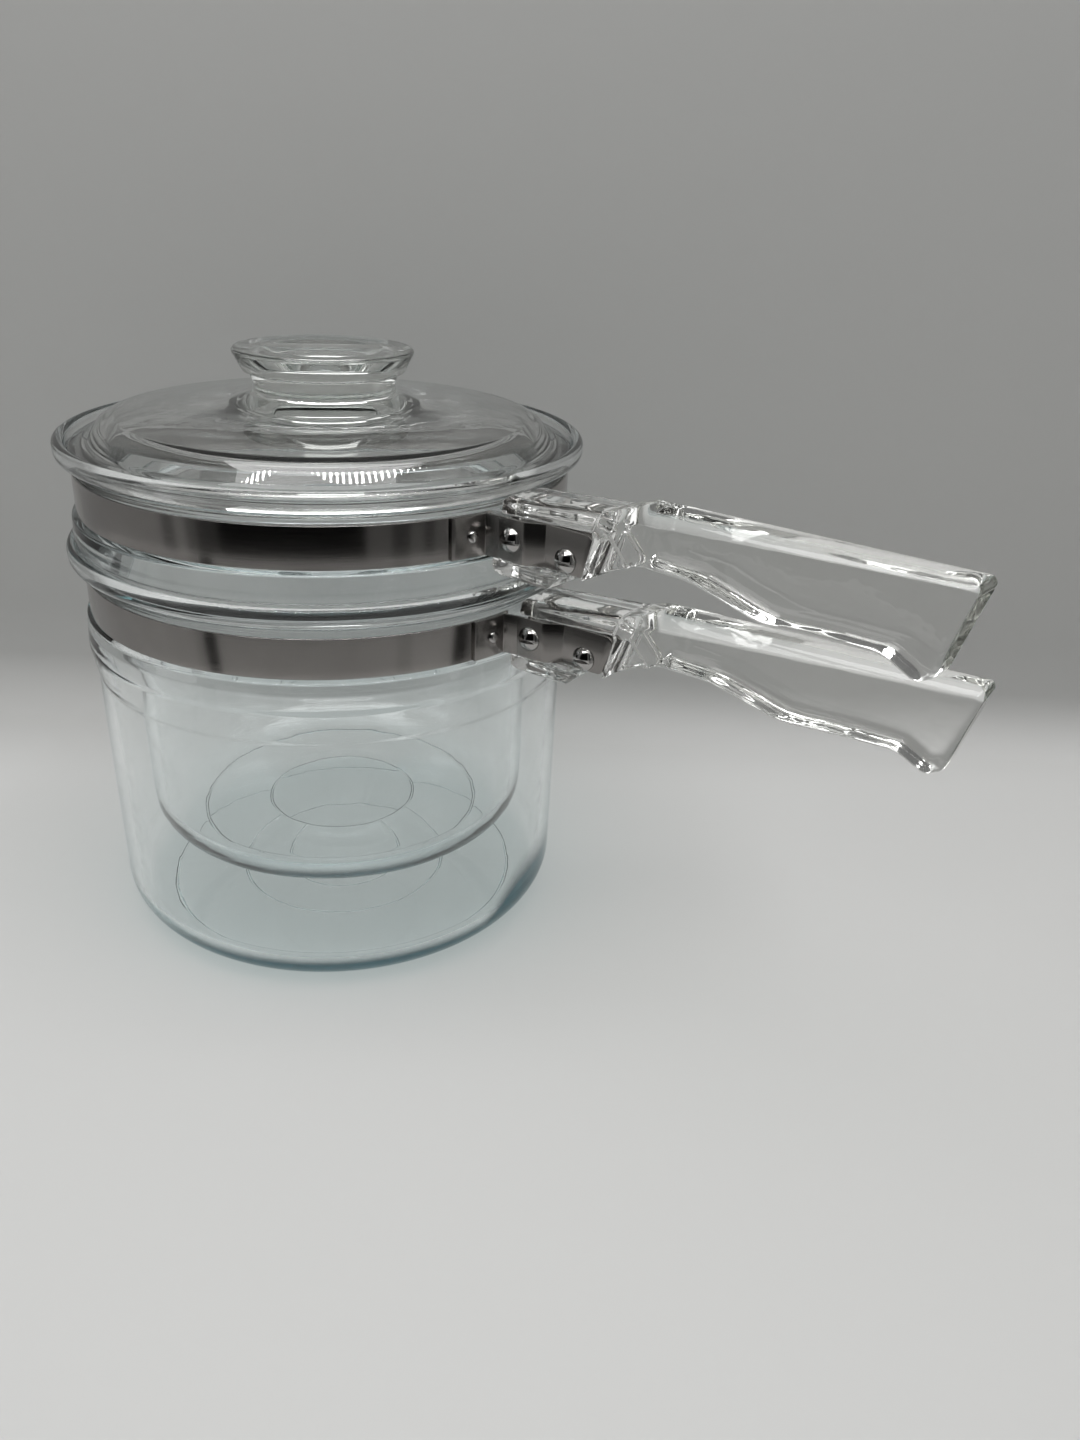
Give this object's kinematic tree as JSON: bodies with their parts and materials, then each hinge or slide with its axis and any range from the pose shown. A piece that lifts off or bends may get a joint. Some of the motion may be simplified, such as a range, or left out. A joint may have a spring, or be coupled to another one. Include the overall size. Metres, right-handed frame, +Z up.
{
  "type": "double boiler",
  "caption": "Glass double boiler: a saucepan and a nesting insert pot, each with a steel neck band and a glass handle, and a domed glass lid with a knob.",
  "frame": {"origin": "centre of the lower pot's flat base, on the surface it stands on", "axes": "+Z up along the pots' common axis, +X out along the lower handle"},
  "size_m": [0.3157, 0.175, 0.2008],
  "materials": {
    "pot_glass": "clear pressed glass with a faint blue-green tint",
    "lid_glass": "clear pressed glass",
    "handle_glass": "clear pressed glass, slightly warm, softly rippled",
    "band_steel": "fine lengthwise brushing with light scratches",
    "ear_steel": "worn satin steel",
    "bright_steel": "polished"
  },
  "bodies": {
    "lower_ware": {"lower_pot": "pot_glass", "lower_band": "band_steel", "lower_left_ear": "ear_steel", "lower_right_ear": "ear_steel", "lower_rivets": "bright_steel", "lower_handle": "handle_glass", "lower_front_screw": "bright_steel", "lower_front_nut": "bright_steel", "lower_rear_screw": "bright_steel", "lower_rear_nut": "bright_steel"},
    "insert_ware": {"insert_pot": "pot_glass", "insert_band": "band_steel", "insert_left_ear": "ear_steel", "insert_right_ear": "ear_steel", "insert_rivets": "bright_steel", "insert_handle": "handle_glass", "insert_front_screw": "bright_steel", "insert_front_nut": "bright_steel", "insert_rear_screw": "bright_steel", "insert_rear_nut": "bright_steel"},
    "lid_ware": {"lid": "lid_glass"}
  },
  "joints": [
    {"name": "insert_lift", "type": "slide", "parent": "lower_ware", "child": "insert_ware", "axis": [0, 0, 1], "range_m": [0, 0.13]},
    {"name": "lid_lift", "type": "slide", "parent": "insert_ware", "child": "lid_ware", "axis": [0, 0, 1], "range_m": [0, 0.05]}
  ]
}
